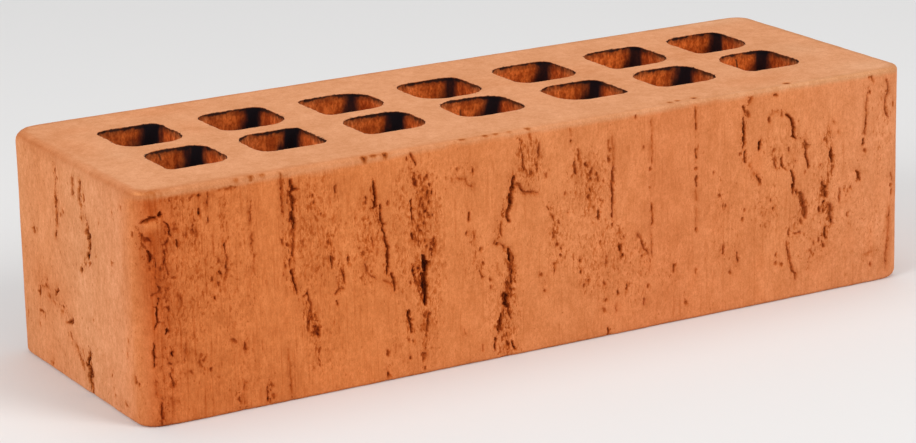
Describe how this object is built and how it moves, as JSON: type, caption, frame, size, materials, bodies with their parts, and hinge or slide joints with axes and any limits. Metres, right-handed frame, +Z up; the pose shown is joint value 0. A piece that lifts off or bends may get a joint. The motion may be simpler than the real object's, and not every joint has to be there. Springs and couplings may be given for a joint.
{
  "type": "perforated clay facing brick",
  "caption": "Narrow fired-clay facing brick with vertical square cores, rounded upright corners and bark-textured faces.",
  "frame": {"origin": "centre of the bottom bed face, on the plane the brick rests on", "axes": "+X along the 250 mm length, +Y across the 85 mm width from the front stretcher face to the rear one, +Z up along the cores, the 65 mm height"},
  "size_m": [0.25, 0.085, 0.065],
  "materials": {
    "fired_clay": "matte, unglazed, orange fired clay with a fine sandy grain"
  },
  "bodies": {
    "root": {"brick_body": "fired_clay"}
  },
  "joints": []
}
